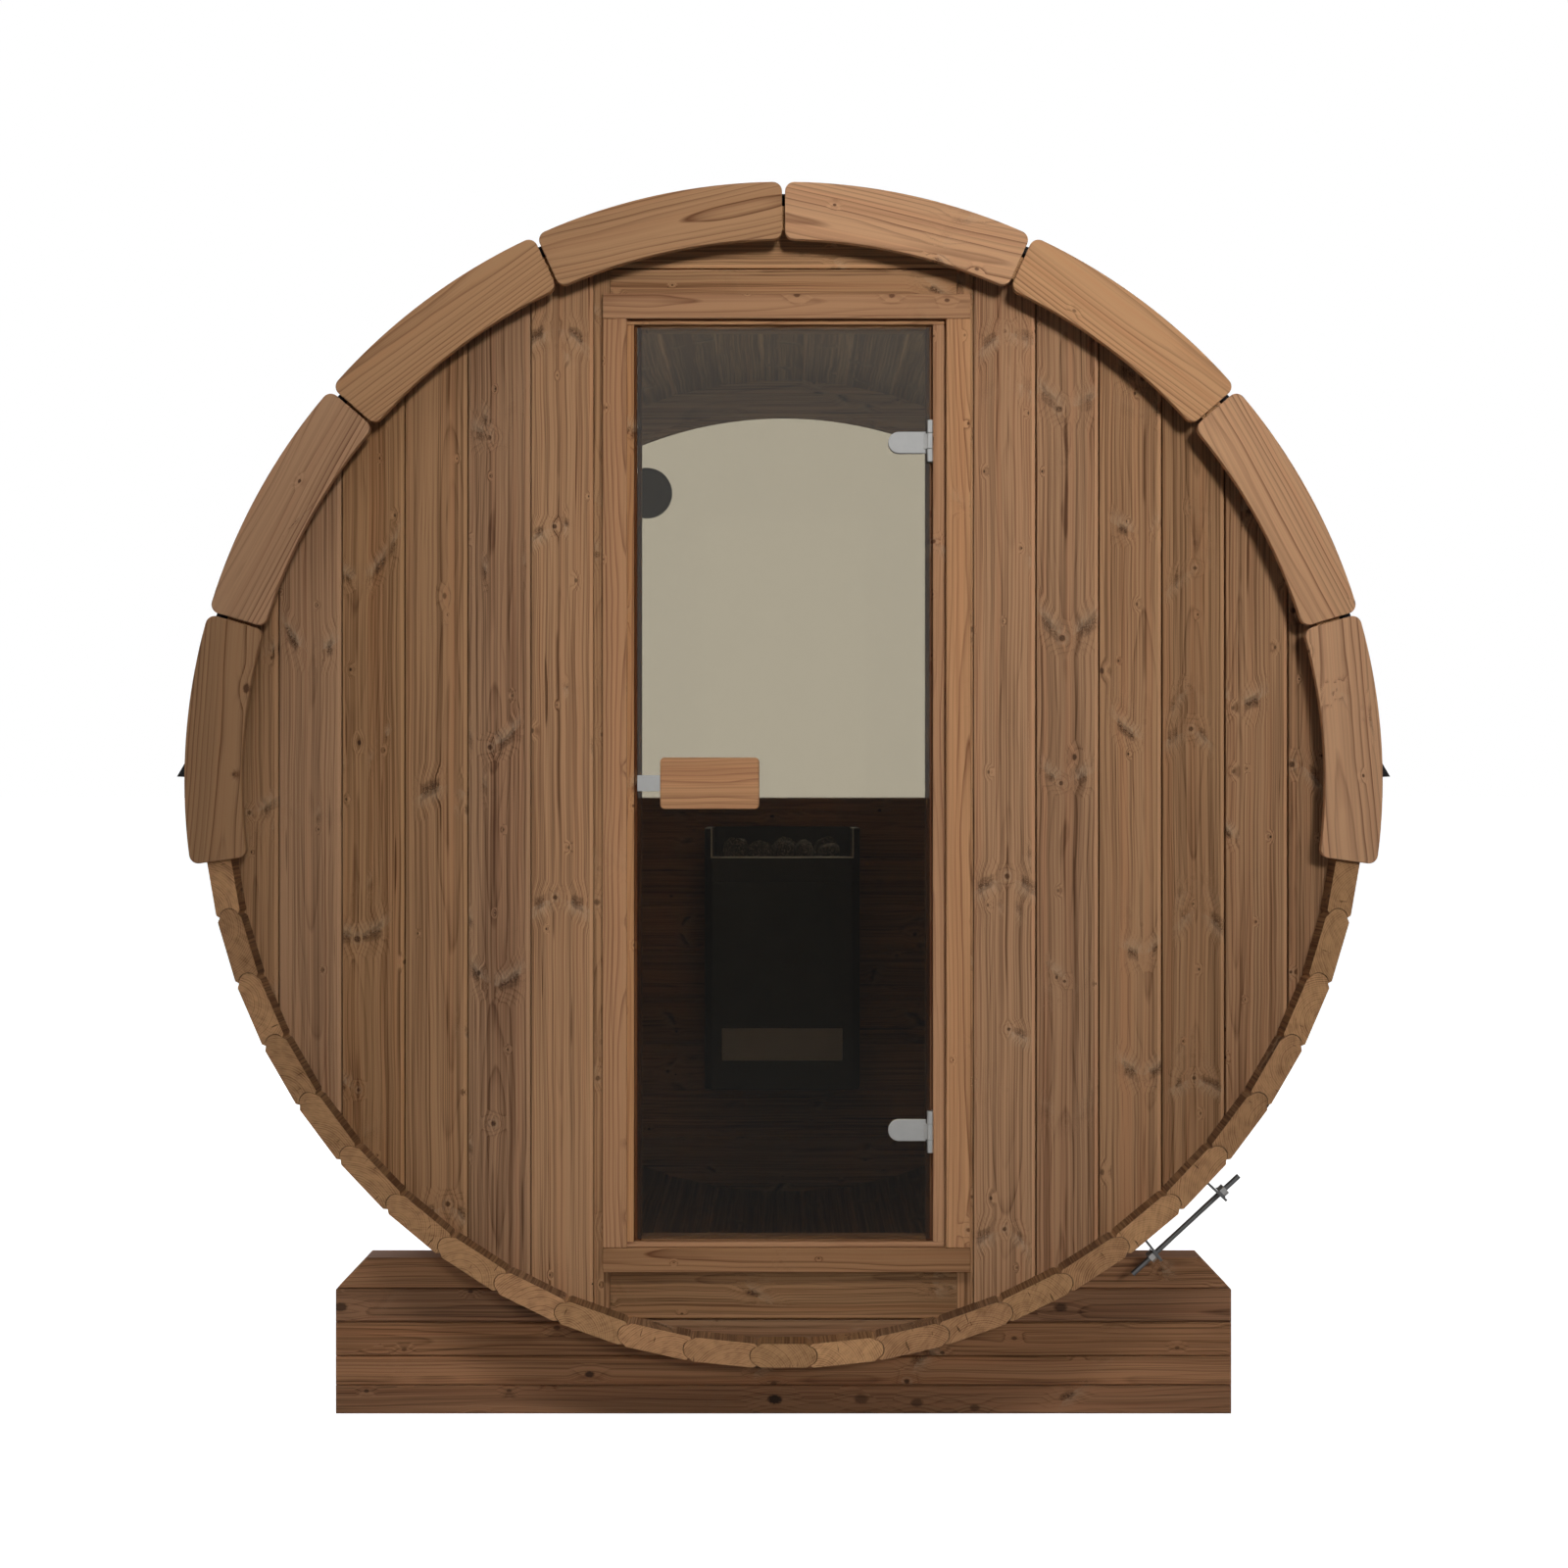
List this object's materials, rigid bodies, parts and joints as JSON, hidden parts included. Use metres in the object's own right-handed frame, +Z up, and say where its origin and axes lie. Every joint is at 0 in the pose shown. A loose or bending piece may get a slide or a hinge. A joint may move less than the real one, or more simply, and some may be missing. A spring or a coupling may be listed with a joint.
{
  "type": "barrel sauna",
  "caption": "Outdoor barrel sauna of jointed timber staves on two cradles, with a tinted glass door, half-moon rear window, shingle roof and a wall-hung electric heater.",
  "frame": {"origin": "centre of the footprint on the ground under the barrel", "axes": "+Z up, the glass door faces -Y, +X to the right of a person looking at the door; the barrel lies along Y"},
  "size_m": [2.1048, 2.042, 2.166],
  "materials": {
    "spruce_end_wall": "oiled",
    "spruce_stave": "oiled",
    "spruce_trim": "oiled",
    "spruce_cradle": "oiled",
    "door_frame_wood": "oiled",
    "handle_wood": "oiled",
    "tinted_glass": "clear",
    "window_glass": "clear",
    "satin_steel": "satin",
    "dark_steel": "satin",
    "bitumen_shingle": "matt",
    "black_enamel": "satin",
    "grey_enamel": "satin",
    "stone": "rough",
    "black_rubber": "matt"
  },
  "bodies": {
    "sauna": {"band_pads": "black_rubber", "band_tensioners": "dark_steel", "bands": "dark_steel", "casing_head": "door_frame_wood", "casing_left": "door_frame_wood", "casing_right": "door_frame_wood", "casing_sill": "door_frame_wood", "cradle_front": "spruce_cradle", "cradle_rear": "spruce_cradle", "door_posts": "spruce_end_wall", "floor_staves_even": "spruce_stave", "floor_staves_odd": "spruce_stave", "front_trim": "spruce_trim", "front_wall_head": "spruce_end_wall", "front_wall_left": "spruce_end_wall", "front_wall_right": "spruce_end_wall", "front_wall_sill": "spruce_end_wall", "heater_body": "black_enamel", "heater_panel": "grey_enamel", "heater_stones": "stone", "hinge_leaves": "satin_steel", "left_staves_even": "spruce_stave", "left_staves_odd": "spruce_stave", "lining_head": "door_frame_wood", "lining_left": "door_frame_wood", "lining_right": "door_frame_wood", "lining_sill": "door_frame_wood", "rear_trim": "spruce_trim", "rear_wall_lower": "spruce_end_wall", "rear_wall_upper": "spruce_end_wall", "right_staves_even": "spruce_stave", "right_staves_odd": "spruce_stave", "roof_eaves": "bitumen_shingle", "roof_left_even": "bitumen_shingle", "roof_left_odd": "bitumen_shingle", "roof_ridge": "bitumen_shingle", "roof_right_even": "bitumen_shingle", "roof_right_odd": "bitumen_shingle", "roof_staves_even": "spruce_stave", "roof_staves_odd": "spruce_stave", "window_frame": "spruce_trim", "window_glass": "window_glass", "window_vent": "black_enamel"},
    "door": {"door_glass": "tinted_glass", "door_handle": "handle_wood", "latch_plate": "satin_steel", "hinge_clamps": "satin_steel"}
  },
  "joints": [
    {"name": "door_hinge", "type": "hinge", "parent": "sauna", "child": "door", "pos_m": [0.2565, -0.957, 1.12], "axis": [0, 0, 1], "range_deg": [0, 110]}
  ]
}
